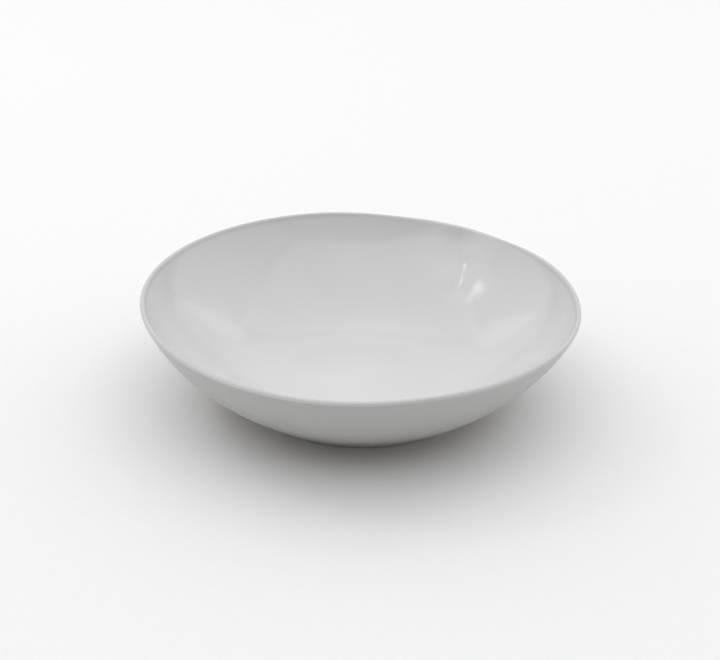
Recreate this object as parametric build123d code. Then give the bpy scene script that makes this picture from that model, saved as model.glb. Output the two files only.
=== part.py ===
from build123d import *

# Evaporating dish, shallow form with a flat foot: one fired porcelain shell with a pouring spout
# pressed into its rim, and the glaze fused over all of it but the foot.
# Millimetres. The foot stands on z = 0, the dish's axis is Z and the spout points along +X.

import os
from math import cos, pi, radians, sin

os.makedirs("parts", exist_ok=True)

# The glazed dish
RIM_RADIUS = 75.0  # widest, away from the spout
HEIGHT = 37.0  # from the foot to the top of the rim

# The porcelain wall, as a line on its outside
FOOT_RADIUS = 40.7  # where the wall's line meets the level of the foot
WALL_RISE = 40.0  # degrees above level at the foot
RIM_RISE = 66.8  # degrees above level at the rim
FOOT_REACH = 12.5  # how far the rise at the foot holds up the wall
RIM_REACH = 20.2  # how far the rise at the rim holds down the wall

# Porcelain thicknesses
RIM_WALL = 1.4  # the lip is fully round, so this is its diameter
FOOT_WALL = 2.4
FLOOR = 2.8

# Soft turns, as distances up the wall
FOOT_TURN = 0.8  # from the flat foot into the wall, outside
FLOOR_TURN = 18.0  # from the flat floor into the wall, inside

# Glaze
GLAZE = 0.22
GLAZE_LINE = 2.0  # height above the foot where the glaze stops

# Pouring spout
SPOUT_OUT = 2.2  # the lip's reach beyond the rim
SPOUT_DOWN = 1.9  # the lip's drop below the rim
SPOUT_RUN = 28.0  # how far down the wall the channel fades out
LIP_HALF_WIDTH = 26.0  # along the rim
CHANNEL_END_HALF_WIDTH = 4.6  # along the wall where the channel fades out
DIP_HALF_WIDTH = 62.0  # of the rim's dip, along the rim

# Spacing of the sections' points round the dish, in degrees
FINE_STEP = 2.5
COARSE_STEP = 10.0
FINE_REACH = 50.0  # to each side of the spout


def hump(share):
    """A smooth hump: 1 at share 0, level and 0 from share 1 on."""
    return 0.5 + 0.5 * cos(pi * min(abs(share), 1.0))


def spout_shift(angle, down):
    """How far the pressed spout moves a point of the wall outwards and up."""
    run = min(down / SPOUT_RUN, 1.0)
    half_width = LIP_HALF_WIDTH + (CHANNEL_END_HALF_WIDTH - LIP_HALF_WIDTH) * run
    across = RIM_RADIUS * angle
    out = SPOUT_OUT * hump(run) * hump(across / half_width)
    drop = SPOUT_DOWN * hump(run) * hump(across / DIP_HALF_WIDTH)
    return out, -drop


def section(r, z, down):
    """One ring of the dish's surface. It closes at the back, opposite the spout."""
    fine = int(FINE_REACH / FINE_STEP)
    coarse = int((180.0 - FINE_REACH) / COARSE_STEP)
    front = [FINE_STEP * i for i in range(-fine, fine + 1)]
    left = [-180.0 + COARSE_STEP * i for i in range(coarse)]
    right = [FINE_REACH + COARSE_STEP * (i + 1) for i in range(coarse - 1)]
    degrees = left + front + right
    points = []
    for degree in degrees:
        angle = radians(degree)
        out, up = spout_shift(angle, down)
        points.append(Vector((r + out) * cos(angle), (r + out) * sin(angle), z + up))
    turns = [radians(degree) for degree in degrees + [180.0]]
    return Wire([Edge.make_spline(points, periodic=True, parameters=turns)])


def soft_turn(point, along, level):
    """Points and normals of the turn from a level plane into the wall at point, whose way up is
    along. The normal lies to the right of the way up."""
    corner = point - along * ((point.Y - level) / along.Y)
    start = corner - Vector(1, 0) * (point - corner).length
    turn = []
    steps = 6
    for i in range(steps + 1):
        t = i / steps
        place = start * (1 - t) ** 2 + corner * (2 * t * (1 - t)) + point * t**2
        way = ((corner - start) * (1 - t) + (point - corner) * t).normalized()
        turn.append((place, Vector(way.Y, -way.X)))
    return turn


# The profile in the plane of radius (X) and height (Y)
lean = Vector(cos(radians(RIM_RISE)), sin(radians(RIM_RISE)))
rise = Vector(cos(radians(WALL_RISE)), sin(radians(WALL_RISE)))
lip_radius = RIM_WALL / 2
lip = Vector(RIM_RADIUS - GLAZE - lip_radius, HEIGHT - GLAZE - lip_radius)
outside_top = lip + Vector(lean.Y, -lean.X) * lip_radius
foot_corner = Vector(FOOT_RADIUS, 0)
wall_line = Bezier(
    foot_corner,
    foot_corner + rise * FOOT_REACH,
    outside_top - lean * RIM_REACH,
    outside_top,
)
wall_length = wall_line.length


def wall_at(up):
    """The wall line's point, its way up and its outward normal, at a distance up from the foot."""
    point = wall_line @ (up / wall_length)
    way = wall_line % (up / wall_length)
    return Vector(point.X, point.Y), Vector(way.X, way.Y), Vector(way.Y, -way.X)


def thickness(up):
    """The porcelain's thickness, from the lip's, where it is level, to the foot's."""
    return FOOT_WALL + (RIM_WALL - FOOT_WALL) * hump(1 - up / wall_length)


# Distances up the wall, closer together towards the lip and the foot
spread = 14
ups = [wall_length * (0.5 - 0.5 * cos(pi * i / spread)) for i in range(spread + 1)]

# The outline in five stretches, from the foot over the lip to the floor, each smooth in itself and
# starting where the last one ends. An entry is a point of the porcelain's surface, its outward
# normal and its distance down the wall from the lip.
point, way, normal = wall_at(FOOT_TURN)
foot_turn = [(*entry, wall_length) for entry in soft_turn(point, way, 0)]

outside = []
for up in [FOOT_TURN] + [up for up in ups if up > 2 * FOOT_TURN]:
    point, way, normal = wall_at(up)
    outside.append((point, normal, wall_length - up))

rim = []
half_turn = 8
for i in range(half_turn + 1):
    angle = radians(RIM_RISE - 90 + 180 * i / half_turn)
    out = Vector(cos(angle), sin(angle))
    rim.append((lip + out * lip_radius, out, 0.0))

inside = []
floor_up = FLOOR + FLOOR_TURN
for up in [floor_up] + [up for up in ups if up > floor_up + 1]:
    point, way, normal = wall_at(up)
    inside.insert(0, (point - normal * thickness(up), -normal, wall_length - up))

point, way, normal = wall_at(floor_up)
floor_turn = []
for place, out in soft_turn(point - normal * thickness(floor_up), way, FLOOR):
    floor_turn.insert(0, (place, -out, wall_length))


def dish(extra):
    """The dish's solid, with its surface moved out by extra all over."""
    rings = []
    faces = []
    for stretch in (foot_turn, outside, rim, inside, floor_turn):
        joined = rings[-1:]
        for place, out, down in stretch[len(joined) :]:
            ring = place + out * extra
            rings.append(section(ring.X, ring.Y, down))
            joined.append(rings[-1])
        faces += Shell.make_loft(joined).faces()
    return Solid(Shell([Face(rings[0])] + faces + [Face(rings[-1])]))


porcelain_body = dish(0.0)

# The glaze is what the coated dish has over the porcelain, above the glaze line
reach = 2 * (RIM_RADIUS + SPOUT_OUT + GLAZE)
bare = Box(reach, reach, 2 * GLAZE_LINE)
glaze_coat = dish(GLAZE) - porcelain_body - bare

export_step(porcelain_body, "parts/porcelain_body.step")
export_step(glaze_coat, "parts/glaze_coat.step")
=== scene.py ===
from math import cos, pi, radians, sin

import bpy
from mathutils import Matrix, Vector
from mathutils.geometry import interpolate_bezier


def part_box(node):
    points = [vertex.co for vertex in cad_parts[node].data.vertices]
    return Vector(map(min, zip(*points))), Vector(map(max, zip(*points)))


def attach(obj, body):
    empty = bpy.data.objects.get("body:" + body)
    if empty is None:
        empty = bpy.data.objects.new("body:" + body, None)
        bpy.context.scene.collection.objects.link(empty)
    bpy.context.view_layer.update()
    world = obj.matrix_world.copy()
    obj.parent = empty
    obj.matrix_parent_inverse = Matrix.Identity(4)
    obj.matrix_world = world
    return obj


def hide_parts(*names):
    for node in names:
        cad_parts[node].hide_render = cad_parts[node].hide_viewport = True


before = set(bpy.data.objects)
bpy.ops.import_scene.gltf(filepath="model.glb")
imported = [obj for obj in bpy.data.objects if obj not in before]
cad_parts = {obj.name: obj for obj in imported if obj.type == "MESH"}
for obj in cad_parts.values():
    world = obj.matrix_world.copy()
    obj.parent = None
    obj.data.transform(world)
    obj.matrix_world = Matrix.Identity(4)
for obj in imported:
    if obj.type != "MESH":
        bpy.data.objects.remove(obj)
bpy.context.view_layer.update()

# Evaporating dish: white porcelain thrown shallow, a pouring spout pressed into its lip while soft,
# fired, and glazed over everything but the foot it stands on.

MM = 0.001

# ---- Sizes, in millimetres unless they say otherwise ----

glaze_low, glaze_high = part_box("glaze_coat")
RIM_RADIUS = -glaze_low[0] / MM
HEIGHT = glaze_high[2] / MM

FOOT_RADIUS = 40.7
WALL_RISE = 40.0  # degrees, at the foot
RIM_RISE = 66.8  # degrees, at the lip
FOOT_REACH = 12.5
RIM_REACH = 20.2
LIP = 1.4  # the bare lip's thickness
FOOT_WALL = 2.4
FLOOR = 2.8
GLAZE = 0.22
GLAZE_LINE = 2.0

ROUND = 144  # ring points round the dish
WALL_STEPS = 97  # points along the wall's line, from which the rings are picked
OUTSIDE_RINGS = (1, 2, 4, 7, 11, 16, 24, 32, 40, 48, 56, 64, 72, 79, 85, 90, 93, 95)
INSIDE_RINGS = (95, 93, 90, 85, 79, 72, 64, 56, 49, 43)
SMOOTH_BELOW = 50  # degrees between faces, under which an edge is shaded smooth


# ---- Modelling ----


def clear_selection():
    """Nothing is selected, so that an operator acts on the new piece alone."""
    if bpy.context.object and bpy.context.object.mode == "EDIT":
        bpy.ops.object.mode_set(mode="OBJECT")
    bpy.ops.object.select_all(action="DESELECT")


def work_on(piece):
    clear_selection()
    piece.select_set(True)
    bpy.context.view_layer.objects.active = piece


def pick(piece, wanted):
    """Selects the points of a piece that wanted says yes to."""
    work_on(piece)
    bpy.ops.object.mode_set(mode="EDIT")
    bpy.ops.mesh.select_mode(type="VERT")
    bpy.ops.mesh.select_all(action="DESELECT")
    bpy.ops.object.mode_set(mode="OBJECT")
    for point in piece.data.vertices:
        point.select = wanted(point.co / MM)
    bpy.ops.object.mode_set(mode="EDIT")


def wall_points(steps):
    """The outside of the porcelain wall from foot to lip: radius, height and outward normal."""
    rise = Vector((cos(radians(WALL_RISE)), sin(radians(WALL_RISE))))
    lean = Vector((cos(radians(RIM_RISE)), sin(radians(RIM_RISE))))
    lip_centre = Vector((RIM_RADIUS - GLAZE - LIP / 2, HEIGHT - GLAZE - LIP / 2))
    top = lip_centre + Vector((lean.y, -lean.x)) * LIP / 2
    foot = Vector((FOOT_RADIUS, 0.0))
    line = interpolate_bezier(foot, foot + rise * FOOT_REACH, top - lean * RIM_REACH, top, steps)
    points = []
    for i, point in enumerate(line):
        ahead = line[min(i + 1, steps - 1)]
        behind = line[max(i - 1, 0)]
        along = (ahead - behind).normalized()
        points.append((Vector(point[:2]), Vector((along.y, -along.x))))
    return points, lip_centre


def soft_turn(edge, above, level, steps):
    """Points of the rounding from a level plane up to edge, whose wall goes on to above."""
    along = (above - edge).normalized()
    corner = edge - along * ((edge.y - level) / along.y)
    start = corner - Vector(((edge - corner).length, 0.0))
    points = []
    for i in range(steps):
        t = i / steps
        points.append(tuple(start * (1 - t) ** 2 + corner * 2 * t * (1 - t) + edge * t**2))
    return points


def turned_profile():
    """Rings from the foot's face over the lip to the floor of the bowl, as (radius, height)."""
    wall, lip_centre = wall_points(WALL_STEPS)
    rings = [(radius, 0.0) for radius in (20.0, 30.0, 36.0, 39.0)]
    rings += soft_turn(wall[1][0], wall[2][0], 0.0, 4)
    for i in OUTSIDE_RINGS:
        rings.append(tuple(wall[i][0]))
    for i in range(9):
        angle = radians(RIM_RISE - 90 + 22.5 * i)
        rings.append((lip_centre.x + cos(angle) * LIP / 2, lip_centre.y + sin(angle) * LIP / 2))
    for i in INSIDE_RINGS:
        point, normal = wall[i]
        share = 0.5 - 0.5 * cos(pi * i / (WALL_STEPS - 1))
        inner = point - normal * (FOOT_WALL + (LIP - FOOT_WALL) * share)
        rings.append(tuple(inner))
    turn = soft_turn(Vector(rings[-1]), Vector(rings[-2]), FLOOR, 10)
    rings += reversed(turn)
    rings += [(turn[0][0] - 5, FLOOR), (12.0, FLOOR)]
    return rings


def turn_dish(name, rings):
    """Throws the dish: a ring extruded and resized up from the foot, over the lip and down."""
    clear_selection()
    radius, height = rings[0]
    bpy.ops.mesh.primitive_circle_add(
        vertices=ROUND, radius=radius * MM, fill_type="NOTHING", location=(0, 0, height * MM)
    )
    dish = bpy.context.object
    dish.name = name
    dish.data.name = name
    bpy.ops.object.transform_apply(location=True, rotation=False, scale=False)
    bpy.ops.object.mode_set(mode="EDIT")
    bpy.ops.mesh.select_mode(type="EDGE")
    bpy.ops.mesh.select_all(action="SELECT")
    for wide, high in rings[1:]:
        lift = {"value": (0, 0, (high - height) * MM)}
        bpy.ops.mesh.extrude_region_move(TRANSFORM_OT_translate=lift)
        grow = wide / radius
        bpy.ops.transform.resize(value=(grow, grow, 1), center_override=(0, 0, high * MM))
        radius, height = wide, high
    bpy.ops.mesh.extrude_region_move()
    bpy.ops.mesh.merge(type="CENTER")
    pick(dish, lambda p: p.z < 0.001 and p.xy.length < rings[0][0] + 0.001)
    bpy.ops.mesh.select_mode(type="EDGE")
    bpy.ops.mesh.extrude_region_move()
    bpy.ops.mesh.merge(type="CENTER")
    bpy.ops.mesh.select_all(action="SELECT")
    bpy.ops.mesh.normals_make_consistent(inside=False)
    clear_selection()
    return dish


def press(dish, wanted, push, reach):
    """Pushes the soft wall by push, all within reach of the chosen points giving way with it."""
    pick(dish, wanted)
    bpy.ops.transform.translate(
        value=Vector(push) * MM,
        use_proportional_edit=True,
        proportional_edit_falloff="SMOOTH",
        proportional_size=reach * MM,
    )
    clear_selection()


def on_wall(degrees, width, low, high):
    """Points of the wall within width degrees of a bearing from the spout, between two heights."""

    def wanted(p):
        bearing = Vector((cos(radians(degrees)), sin(radians(degrees)), 0))
        flat = Vector((p.x, p.y, 0))
        return low < p.z < high and flat.angle(bearing, 9) < radians(width)

    return wanted


def finish_with(piece, kind, **settings):
    """Adds a modifier and applies it."""
    work_on(piece)
    modifier = piece.modifiers.new(kind.title(), kind)
    for key, value in settings.items():
        setattr(modifier, key, value)
    bpy.ops.object.modifier_apply(modifier=modifier.name)
    clear_selection()


body = turn_dish("porcelain_shell", turned_profile())

# The spout: a thumb draws the lip out, and the lip either side sinks with it
press(body, on_wall(0, 5, HEIGHT - 2, HEIGHT), (2.2, 0, 0), 20)
press(body, on_wall(0, 6, HEIGHT - 3, HEIGHT), (0, 0, -1.0), 27)
press(body, on_wall(0, 22, HEIGHT - 3, HEIGHT), (0, 0, -0.6), 29)

# The firing: the lip settles a little out of level opposite the spout
press(body, on_wall(180, 15, HEIGHT - 2, HEIGHT), (0, 0, -0.6), 48)
press(body, on_wall(240, 15, HEIGHT - 2, HEIGHT), (0, 0, 0.5), 48)

finish_with(body, "SUBSURF", levels=1, render_levels=1)

# A fingertip carries the spout on down the wall as a channel, drifting a little to one side
press(body, on_wall(-5, 0.7, 24, 29), (0.9, 0, -0.3), 10)
press(body, on_wall(-10, 0.7, 17, 23), (0.9, 0, -0.3), 7.5)

# The glaze is the fired shell's skin above the glaze line, thickened outwards
work_on(body)
bpy.ops.object.duplicate()
glaze = bpy.context.object
glaze.name = "white_glaze"
glaze.data.name = "white_glaze"
pick(glaze, lambda p: True)
bpy.ops.mesh.bisect(plane_co=(0, 0, GLAZE_LINE * MM), plane_no=(0, 0, 1), clear_inner=True)
clear_selection()
finish_with(glaze, "SOLIDIFY", thickness=GLAZE * MM, offset=1, use_even_offset=True)
pick(glaze, lambda p: p.z < GLAZE_LINE - GLAZE / 3)
bpy.ops.mesh.bevel(offset=0.6 * GLAZE * MM, segments=3, affect="EDGES")
clear_selection()

for piece in (body, glaze):
    work_on(piece)
    bpy.ops.object.shade_smooth_by_angle(angle=radians(SMOOTH_BELOW))
clear_selection()


# ---- Materials ----


def linear(hex_colour):
    """An sRGB hex value as linear red, green, blue and alpha."""
    parts = [int(hex_colour[i : i + 2], 16) / 255 for i in (1, 3, 5)]
    return [p / 12.92 if p <= 0.04045 else ((p + 0.055) / 1.055) ** 2.4 for p in parts] + [1.0]


def add(tree, kind, links=(), **settings):
    """Adds a node. Settings are its properties or sockets' values, links its sockets' sources."""
    node = tree.nodes.new(kind)
    for key, value in settings.items():
        if hasattr(node, key):
            setattr(node, key, value)
    sockets = {}
    for number, socket in enumerate(node.inputs):
        if socket.enabled:
            sockets[number] = socket
            sockets.setdefault(socket.name, socket)
    for key, value in settings.items():
        if not hasattr(node, key):
            sockets[int(key) if key.isdigit() else key.replace("_", " ")].default_value = value
    for key, source in links:
        tree.links.new(source, sockets[key])
    return node


def new_material(name):
    material = bpy.data.materials.new(name)
    material.use_nodes = True
    material.node_tree.nodes.clear()
    return material, material.node_tree


def across(spacing):
    """A texture's scale for a pattern that repeats about every spacing millimetres."""
    return 1 / (spacing * MM)


def rings_across(spacing):
    """A wave texture's scale for rings that lie spacing millimetres apart."""
    return 2 * pi / 20 / (spacing * MM)


def glazed_porcelain():
    """Hard porcelain under a clear fired glaze: white with a trace of grey, glossy and a little
    wavy inside, duller outside. Painted shade greys the outside and the lip and turns the outside
    warm grey just above the foot. About fifteen faint specks lie in it, the largest half a
    millimetre across."""
    material, tree = new_material("fired porcelain glaze, glossy")
    place = add(tree, "ShaderNodeTexCoord")
    here = ("Vector", place.outputs["Object"])
    facing = add(tree, "ShaderNodeSeparateXYZ", [("Vector", place.outputs["Normal"])])
    height = add(tree, "ShaderNodeSeparateXYZ", [here])
    outside = add(
        tree, "ShaderNodeMapRange", [("Value", facing.outputs["Z"])],
        interpolation_type="SMOOTHSTEP", From_Min=-0.3, From_Max=0.1, To_Min=1.0, To_Max=0.0,
    )
    # Painted shade: the outside darkens to warm grey over its lowest 17 mm, standing in for the
    # shadow near the floor
    near_foot = add(
        tree, "ShaderNodeMapRange", [("Value", height.outputs["Z"])],
        interpolation_type="SMOOTHSTEP",
        From_Min=1.0 * MM, From_Max=17.0 * MM, To_Min=0.9, To_Max=0.0,
    )
    painted_foot_shade = add(
        tree, "ShaderNodeMath", [(0, outside.outputs[0]), (1, near_foot.outputs[0])],
        operation="MULTIPLY",
    )

    # Whiteness drifts over a few centimetres as the glaze lay thicker or thinner
    drift = add(tree, "ShaderNodeTexNoise", [here], Scale=across(38), Detail=2.0)
    drifting = add(
        tree, "ShaderNodeMapRange", [("Value", drift.outputs[0])],
        From_Min=0.3, From_Max=0.7,
    )
    inside_colour = add(
        tree, "ShaderNodeMix", [("Factor", drifting.outputs[0])],
        data_type="RGBA", A=linear("#dcdcdc"), B=linear("#d8d8d9"),
    )
    # Painted shade: the outside wall is painted greyer than the inside, for the shade it lies in
    # facing down towards the floor
    wall_colour = add(
        tree, "ShaderNodeMix",
        [("Factor", outside.outputs[0]), ("A", inside_colour.outputs["Result"])],
        data_type="RGBA", B=linear("#b9b9b8"),
    )
    foot_colour = add(
        tree, "ShaderNodeMix", [("Factor", painted_foot_shade.outputs[0]), ("A", wall_colour.outputs["Result"])],
        data_type="RGBA", B=linear("#7f766e"),
    )

    # Painted shade: the lip, which faces the overhead light most, is painted greyer than the inside
    near_lip = add(
        tree, "ShaderNodeMapRange", [("Value", height.outputs["Z"])],
        interpolation_type="SMOOTHSTEP",
        From_Min=(HEIGHT - 2.2) * MM, From_Max=(HEIGHT - 0.6) * MM, To_Min=0.0, To_Max=0.5,
    )
    lip_colour = add(
        tree, "ShaderNodeMix",
        [("Factor", near_lip.outputs[0]), ("A", foot_colour.outputs["Result"])],
        data_type="RGBA", B=linear("#bebebd"),
    )

    # Specks: where the point of an 8 mm cell lies within about a quarter millimetre of the surface.
    # The cell's own shade decides the speck's size, and most cells give none
    cells = add(tree, "ShaderNodeTexVoronoi", [here], Scale=across(8))
    shade = add(tree, "ShaderNodeSeparateColor", [("Color", cells.outputs["Color"])])
    grown = add(
        tree, "ShaderNodeMath", [(0, shade.outputs[0]), (2, cells.outputs["Distance"])],
        operation="MULTIPLY_ADD", **{"1": 0.05},
    )
    speck = add(
        tree, "ShaderNodeMapRange", [("Value", grown.outputs[0])],
        From_Min=0.02, From_Max=0.035, To_Min=0.55, To_Max=0.0,
    )
    colour = add(
        tree, "ShaderNodeMix", [("Factor", speck.outputs[0]), ("A", lip_colour.outputs["Result"])],
        data_type="RGBA", B=linear("#837868"),
    )

    # Gloss: tiny differences of polish inside, satin outside
    polish = add(tree, "ShaderNodeTexNoise", [here], Scale=across(14), Detail=3.0)
    inside_gloss = add(
        tree, "ShaderNodeMapRange", [("Value", polish.outputs[0])],
        From_Min=0.3, From_Max=0.7, To_Min=0.11, To_Max=0.16,
    )
    gloss = add(
        tree, "ShaderNodeMix", [("Factor", outside.outputs[0]), ("A", inside_gloss.outputs[0])],
        data_type="FLOAT", B=0.3,
    )

    # The melted surface: waves about 7 mm long and a hundredth of a millimetre high
    melt = add(tree, "ShaderNodeTexNoise", [here], Scale=across(7), Detail=1.0, Roughness=0.4)
    waves = add(
        tree, "ShaderNodeBump", [("Height", melt.outputs[0])],
        Strength=1.0, Distance=0.02 * MM,
    )

    shader = add(
        tree, "ShaderNodeBsdfPrincipled",
        [
            ("Base Color", colour.outputs["Result"]),
            ("Roughness", gloss.outputs["Result"]),
            ("Normal", waves.outputs[0]),
        ],
        IOR=1.5,
    )
    add(tree, "ShaderNodeOutputMaterial", [("Surface", shader.outputs[0])])
    return material


def ground_porcelain():
    """Hard porcelain left bare and ground flat: matt and warmer than the glaze, with the grinding
    wheel's rings half a millimetre apart, a fine grain, and grey rubbed on round the edge it stands
    on. The grain is 0.1 mm in the real one and is drawn at 0.3 mm so that it shows."""
    material, tree = new_material("bare porcelain, ground")
    place = add(tree, "ShaderNodeTexCoord")
    here = ("Vector", place.outputs["Object"])
    rings = add(
        tree, "ShaderNodeTexWave", [here],
        wave_type="RINGS", rings_direction="Z", Scale=rings_across(0.5), Distortion=1.5, Detail=2.0,
    )
    grain = add(tree, "ShaderNodeTexNoise", [here], Scale=across(0.3), Detail=2.0)
    clouds = add(tree, "ShaderNodeTexNoise", [here], Scale=across(16), Detail=3.0)
    flat = add(
        tree, "ShaderNodeVectorMath", [(0, place.outputs["Object"])],
        operation="MULTIPLY", **{"1": (1, 1, 0)},
    )
    radius = add(tree, "ShaderNodeVectorMath", [(0, flat.outputs[0])], operation="LENGTH")
    edge = add(
        tree, "ShaderNodeMapRange", [("Value", radius.outputs["Value"])],
        interpolation_type="SMOOTHSTEP",
        From_Min=(FOOT_RADIUS - 6) * MM, From_Max=(FOOT_RADIUS - 1) * MM, To_Min=0.1, To_Max=0.9,
    )
    rubbed = add(
        tree, "ShaderNodeMath", [(0, edge.outputs[0]), (1, clouds.outputs[0])],
        operation="MULTIPLY",
    )
    body_colour = add(
        tree, "ShaderNodeMix", [("Factor", grain.outputs[0])],
        data_type="RGBA", A=linear("#cdc8c0"), B=linear("#bcb6ad"),
    )
    colour = add(
        tree, "ShaderNodeMix",
        [("Factor", rubbed.outputs[0]), ("A", body_colour.outputs["Result"])],
        data_type="RGBA", B=linear("#8f877d"),
    )
    relief = add(
        tree, "ShaderNodeMath", [(0, rings.outputs[0]), (2, grain.outputs[0])],
        operation="MULTIPLY_ADD", **{"1": 0.6},
    )
    marks = add(
        tree, "ShaderNodeBump", [("Height", relief.outputs[0])],
        Strength=1.0, Distance=0.03 * MM,
    )
    shader = add(
        tree, "ShaderNodeBsdfPrincipled",
        [("Base Color", colour.outputs["Result"]), ("Normal", marks.outputs[0])],
        Roughness=0.75, IOR=1.5,
    )
    add(tree, "ShaderNodeOutputMaterial", [("Surface", shader.outputs[0])])
    return material


def studio_paper():
    """White background paper: matt, with a faint tooth a few millimetres across."""
    material, tree = new_material("background paper, matt white")
    place = add(tree, "ShaderNodeTexCoord")
    tooth = add(
        tree, "ShaderNodeTexNoise", [("Vector", place.outputs["Object"])],
        Scale=across(3), Detail=2.0,
    )
    colour = add(
        tree, "ShaderNodeMix", [("Factor", tooth.outputs[0])],
        data_type="RGBA", A=linear("#f9f9f9"), B=linear("#f6f6f6"),
    )
    shader = add(
        tree, "ShaderNodeBsdfPrincipled", [("Base Color", colour.outputs["Result"])], Roughness=0.9,
    )
    add(tree, "ShaderNodeOutputMaterial", [("Surface", shader.outputs[0])])
    return material


bare = ground_porcelain()
white = glazed_porcelain()
for piece, material in ((body, bare), (glaze, white)):
    piece.data.materials.clear()
    piece.data.materials.append(material)

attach(body, "root")
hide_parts("porcelain_body")
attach(glaze, "root")
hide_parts("glaze_coat")


# ---- Floor, light and camera ----

clear_selection()
bpy.ops.mesh.primitive_plane_add(size=8, location=(0, 0, 0))
floor = bpy.context.object
floor.name = "floor"
floor.data.materials.append(studio_paper())

CAMERA_BEARING = 27.0  # degrees from the spout's direction to where the camera looks
CAMERA_HEIGHT_ANGLE = 25.42
CAMERA_DISTANCE = 0.45  # metres
CAMERA_ROLL = 1.66
CAMERA_TILT = 1.62  # below the line to the rim's centre
CAMERA_PAN = 0.045  # to the left of that line

world = bpy.data.worlds.new("studio")
bpy.context.scene.world = world
world.use_nodes = True
world.node_tree.nodes["Background"].inputs["Color"].default_value = (1, 1, 1, 1)
world.node_tree.nodes["Background"].inputs["Strength"].default_value = 0.29


def softbox(name, bearing, elevation, distance, width, height, power):
    """A soft light at a bearing from the camera's line of sight, aimed at the dish. Degrees, metres
    and watts."""
    turn = radians(CAMERA_BEARING - bearing)
    rise = radians(elevation)
    away = Vector((cos(turn) * cos(rise), sin(turn) * cos(rise), sin(rise)))
    light = bpy.data.lights.new(name, "AREA")
    light.shape = "RECTANGLE"
    light.size = width
    light.size_y = height
    light.energy = power
    holder = bpy.data.objects.new(name, light)
    bpy.context.scene.collection.objects.link(holder)
    place = Vector((0, 0, 0.03)) + away * distance
    aim = away.to_track_quat("Z", "Y").to_matrix().to_4x4()
    holder.matrix_world = Matrix.Translation(place) @ aim


# White diffusion cloth over, behind and either side of the table, lit from outside, and one small
# lamp. The overhead cloth is a touch off vertical, so that its sides line up with the others'
softbox("overhead cloth", 0, 89.9, 1.5, 2.4, 2.4, 17.7)
softbox("back cloth", 0, 30, 1.8, 3.2, 1.2, 8.0)
softbox("right cloth", 82, 30, 1.6, 2.6, 1.2, 6.6)
softbox("left cloth", -82, 30, 1.6, 2.6, 1.2, 7.4)
softbox("lamp", -76, 48, 1.0, 0.16, 0.16, 0.36)

camera_data = bpy.data.cameras.new("camera")
camera_data.lens = 65.6
camera = bpy.data.objects.new("camera", camera_data)
bpy.context.scene.collection.objects.link(camera)
turn = radians(CAMERA_BEARING)
rise = radians(CAMERA_HEIGHT_ANGLE)
sight = Vector((cos(turn) * cos(rise), sin(turn) * cos(rise), -sin(rise)))
rim_centre = Vector((0, 0, HEIGHT * MM))
aim = sight.to_track_quat("-Z", "Y").to_matrix().to_4x4()
aim = aim @ Matrix.Rotation(radians(CAMERA_ROLL), 4, "Z")
aim = aim @ Matrix.Rotation(radians(CAMERA_PAN), 4, "Y")
aim = aim @ Matrix.Rotation(-radians(CAMERA_TILT), 4, "X")
camera.matrix_world = Matrix.Translation(rim_centre - sight * CAMERA_DISTANCE) @ aim
bpy.context.scene.camera = camera
bpy.context.scene.view_settings.view_transform = "Standard"
